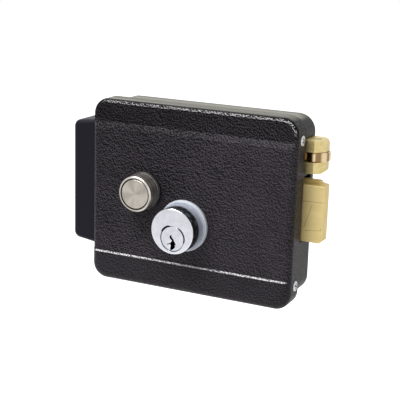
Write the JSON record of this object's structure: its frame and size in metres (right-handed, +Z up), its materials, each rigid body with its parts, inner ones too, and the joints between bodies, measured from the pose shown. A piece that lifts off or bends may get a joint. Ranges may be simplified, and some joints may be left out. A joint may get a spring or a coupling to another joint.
{
  "type": "electric gate lock",
  "caption": "Surface-mounted electric rim lock for a gate: hammered dark case with a push button, a key cylinder, a bevelled brass latch, a brass loading bolt with roller and a terminal cover.",
  "frame": {"origin": "centre of the case's flat back face, which is the centre of the four fixing holes", "axes": "+X towards the latch and the loading bolt, +Y from the viewer to the gate, square to the back face, +Z up"},
  "size_m": [0.1544, 0.0486, 0.104],
  "materials": {
    "hammered_enamel": "hammered dark grey enamel, glossy",
    "black_plastic": "smooth moulded black plastic",
    "stainless": "turned stainless steel",
    "polished_chrome": "bright chrome plating",
    "satin_chrome": "satin chromed collar",
    "plug_steel": "satin nickel plated plug",
    "bolt_brass": "cast and milled brass",
    "roller_brass": "polished brass",
    "bright_zinc": "bright zinc plated steel",
    "spring_steel": "bright drawn spring wire",
    "core_iron": "plain soft iron",
    "bobbin_plastic": "natural nylon",
    "copper_wire": "enamelled copper wire",
    "terminal_plastic": "pale moulded plastic",
    "wire_insulation": "red soft insulation"
  },
  "bodies": {
    "lock": {"lock_case": "hammered_enamel", "front_cover": "hammered_enamel", "cover_screws": "bright_zinc", "terminal_cover": "black_plastic", "terminal_block": "terminal_plastic", "terminal_screws": "bright_zinc", "lead_wires": "wire_insulation", "cylinder_body": "polished_chrome", "cylinder_collar": "satin_chrome", "cylinder_nut": "bright_zinc", "button_bezel": "stainless", "bezel_nut": "bright_zinc", "button_spring": "spring_steel", "lever_bracket": "bright_zinc", "lever_pin": "bright_zinc", "latch_spring": "spring_steel", "trigger_spring": "spring_steel", "lower_rail": "bright_zinc", "middle_rail": "bright_zinc", "upper_rail": "bright_zinc", "bolt_keeper": "bright_zinc", "keeper_screws": "bright_zinc", "spring_bracket": "bright_zinc", "solenoid_yoke": "core_iron", "core_left": "core_iron", "core_right": "core_iron", "bobbin_left": "bobbin_plastic", "bobbin_right": "bobbin_plastic", "winding_left": "copper_wire", "winding_right": "copper_wire", "armature_pin": "bright_zinc", "armature_spring": "spring_steel"},
    "latch": {"latch_bolt": "bolt_brass", "latch_tail": "bright_zinc", "latch_rod": "bright_zinc"},
    "trigger": {"trigger_bolt": "bolt_brass", "trigger_rod": "bright_zinc", "roller_pin": "bright_zinc"},
    "trigger_roller": {"roller": "roller_brass"},
    "button": {"push_button": "stainless", "button_clip": "spring_steel"},
    "lever": {"release_lever": "bright_zinc"},
    "plug": {"cylinder_plug": "plug_steel", "plug_cam": "bright_zinc", "cam_screw": "bright_zinc"},
    "magnet_plate": {"armature": "core_iron"}
  },
  "joints": [
    {"name": "latch_slide", "type": "slide", "parent": "lock", "child": "latch", "axis": [1, 0, 0], "range_m": [-0.0135, 0], "stiffness_N_per_m": 300, "springref_m": 0.012, "deforming": ["latch_spring"]},
    {"name": "trigger_slide", "type": "slide", "parent": "lock", "child": "trigger", "axis": [1, 0, 0], "range_m": [-0.0095, 0], "stiffness_N_per_m": 300, "springref_m": 0.01, "deforming": ["trigger_spring"]},
    {"name": "roller_turn", "type": "hinge", "parent": "trigger", "child": "trigger_roller", "pos_m": [0.06385, -0.0108, 0.02995], "axis": [0, 0, 1], "continuous": true},
    {"name": "button_press", "type": "slide", "parent": "lock", "child": "button", "axis": [0, 1, 0], "range_m": [0, 0.003], "stiffness_N_per_m": 500, "springref_m": -0.002, "deforming": ["button_spring"]},
    {"name": "lever_swing", "type": "hinge", "parent": "lock", "child": "lever", "pos_m": [-0.0273, -0.02065, 0.0254], "axis": [1, 0, 0], "range_deg": [0, 8]},
    {"name": "plug_turn", "type": "hinge", "parent": "lock", "child": "plug", "pos_m": [-0.0019, -0.034, -0.017], "axis": [0, -1, 0], "range_deg": [0, 215]},
    {"name": "armature_pull", "type": "hinge", "parent": "lock", "child": "magnet_plate", "pos_m": [-0.034, -0.0279, -0.038], "axis": [-1, 0, 0], "range_deg": [0, 4], "stiffness_Nm_per_rad": 0.3, "springref_deg": -5.73, "deforming": ["armature_spring"]}
  ],
  "couplings": [
    {"joint": "lever_swing", "follows": "button_press", "rad_per_m": 45.455}
  ]
}
